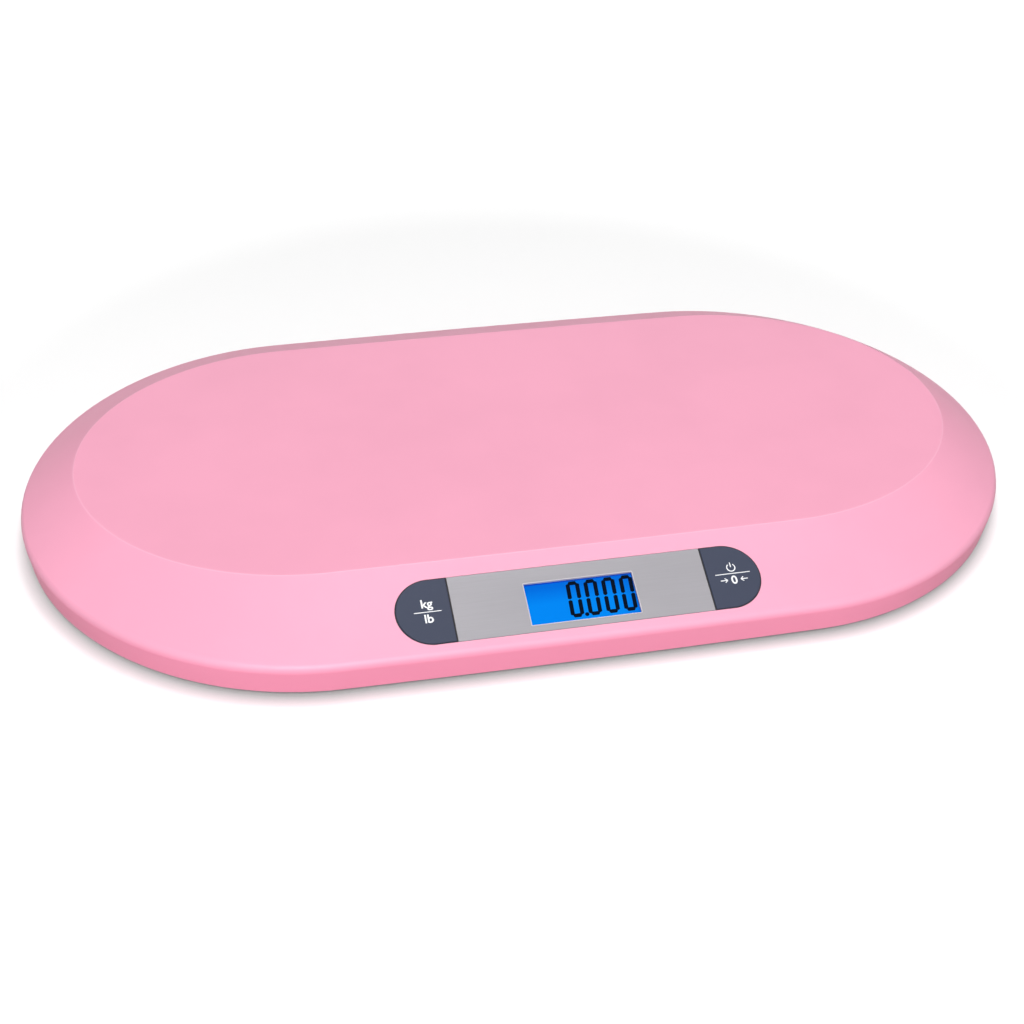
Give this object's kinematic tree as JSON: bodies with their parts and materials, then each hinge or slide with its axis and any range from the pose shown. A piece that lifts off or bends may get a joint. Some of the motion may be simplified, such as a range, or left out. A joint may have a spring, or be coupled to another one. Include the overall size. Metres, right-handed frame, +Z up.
{
  "type": "digital baby scale",
  "caption": "Low oblong baby weighing platform with round ends, a sloping front display panel, press buttons at its ends and weighing feet underneath.",
  "frame": {"origin": "on the floor, under the middle of the scale", "axes": "+X along the length to the right as seen from the display side, -Y the side that the display faces, +Z up"},
  "size_m": [0.559, 0.3173, 0.0405],
  "materials": {
    "shell": "satin pink moulding",
    "base": "matt white moulding",
    "plate": "fine brushed silver",
    "lens": "clear",
    "display": "blue backlit display with dark digits",
    "button": "satin slate grey",
    "inner_plastic": "matt white",
    "diffuser": "milky light guide",
    "strip_rubber": "matt",
    "board": "green solder mask",
    "package": "matt black",
    "screw_steel": "plated",
    "contact_steel": "nickel plated",
    "cell_steel": "stamped",
    "pad_rubber": "matt grey",
    "lead_sleeve": "grey sleeve",
    "red_sleeve": "red sleeve",
    "black_sleeve": "black sleeve",
    "battery_jacket": "plain green jacket"
  },
  "bodies": {
    "housing": {"top_shell": "shell", "base_shell": "base", "display_plate": "plate", "display_window": "lens", "lcd_glass": "display", "lcd_frame": "inner_plastic", "lcd_backlight": "diffuser", "contact_strip": "strip_rubber", "main_board": "board", "processor_chip": "package", "board_screw_1": "screw_steel", "board_screw_2": "screw_steel", "board_screw_3": "screw_steel", "board_screw_4": "screw_steel", "unit_switch": "contact_steel", "power_switch": "contact_steel", "base_screw_1": "screw_steel", "base_screw_2": "screw_steel", "base_screw_3": "screw_steel", "base_screw_4": "screw_steel", "base_screw_5": "screw_steel", "base_screw_6": "screw_steel", "load_cell_front_left": "cell_steel", "load_cell_front_right": "cell_steel", "load_cell_back_left": "cell_steel", "load_cell_back_right": "cell_steel", "cell_holder_front_left": "inner_plastic", "cell_holder_front_right": "inner_plastic", "cell_holder_back_left": "inner_plastic", "cell_holder_back_right": "inner_plastic", "cell_lead_front_left": "lead_sleeve", "cell_lead_front_right": "lead_sleeve", "cell_lead_back_left": "lead_sleeve", "cell_lead_back_right": "lead_sleeve", "positive_lead": "red_sleeve", "negative_lead": "black_sleeve", "battery_1": "battery_jacket", "battery_2": "battery_jacket", "battery_3": "battery_jacket", "contact_spring_1": "contact_steel", "contact_spring_2": "contact_steel", "contact_spring_3": "contact_steel", "negative_plate": "contact_steel", "positive_plate": "contact_steel", "bridge_plate_1": "contact_steel", "bridge_plate_2": "contact_steel"},
    "unit_key": {"unit_button": "button", "unit_plunger": "package"},
    "power_key": {"power_button": "button", "power_plunger": "package"},
    "battery_hatch": {"battery_door": "base"},
    "front_left_foot": {"foot_cup_front_left": "base", "foot_pad_front_left": "pad_rubber"},
    "front_right_foot": {"foot_cup_front_right": "base", "foot_pad_front_right": "pad_rubber"},
    "back_left_foot": {"foot_cup_back_left": "base", "foot_pad_back_left": "pad_rubber"},
    "back_right_foot": {"foot_cup_back_right": "base", "foot_pad_back_right": "pad_rubber"}
  },
  "joints": [
    {"name": "unit_press", "type": "slide", "parent": "housing", "child": "unit_key", "axis": [0, 0.3711, -0.9286], "range_m": [0, 0.0005], "stiffness_N_per_m": 2500},
    {"name": "power_press", "type": "slide", "parent": "housing", "child": "power_key", "axis": [0, 0.3711, -0.9286], "range_m": [0, 0.0005], "stiffness_N_per_m": 2500},
    {"name": "battery_door_swing", "type": "hinge", "parent": "housing", "child": "battery_hatch", "pos_m": [0, 0.07105, 0.0052], "axis": [1, 0, 0], "range_deg": [0, 80]},
    {"name": "front_left_foot_give", "type": "slide", "parent": "housing", "child": "front_left_foot", "axis": [0, 0, 1], "range_m": [0, 0.0004]},
    {"name": "front_right_foot_give", "type": "slide", "parent": "housing", "child": "front_right_foot", "axis": [0, 0, 1], "range_m": [0, 0.0004]},
    {"name": "back_left_foot_give", "type": "slide", "parent": "housing", "child": "back_left_foot", "axis": [0, 0, 1], "range_m": [0, 0.0004]},
    {"name": "back_right_foot_give", "type": "slide", "parent": "housing", "child": "back_right_foot", "axis": [0, 0, 1], "range_m": [0, 0.0004]}
  ]
}
